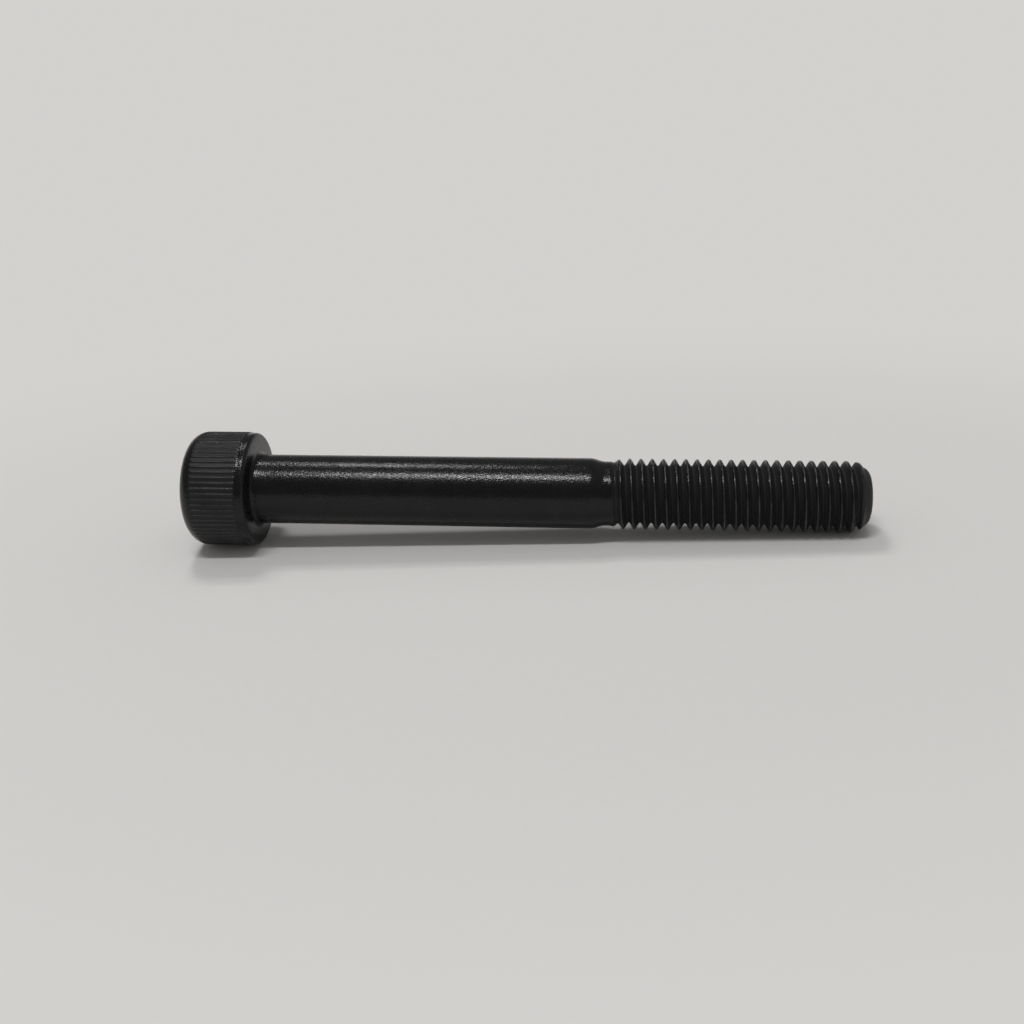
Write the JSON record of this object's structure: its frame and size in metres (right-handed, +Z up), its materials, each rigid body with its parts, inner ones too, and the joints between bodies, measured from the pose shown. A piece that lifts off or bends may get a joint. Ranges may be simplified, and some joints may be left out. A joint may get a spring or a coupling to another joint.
{
  "type": "socket head cap screw",
  "caption": "Socket head cap screw in blackened steel with a straight-knurled head, hexagon socket, plain shank and partly threaded end, lying on its side.",
  "frame": {"origin": "on the floor, below the middle of the screw's length and width as it lies", "axes": "+X along the screw from the head towards the point, +Z up from the floor"},
  "size_m": [0.0772, 0.0132, 0.0133],
  "materials": {
    "blackened_steel": "satin black oxide"
  },
  "bodies": {
    "root": {"cap_screw": "blackened_steel"}
  },
  "joints": []
}
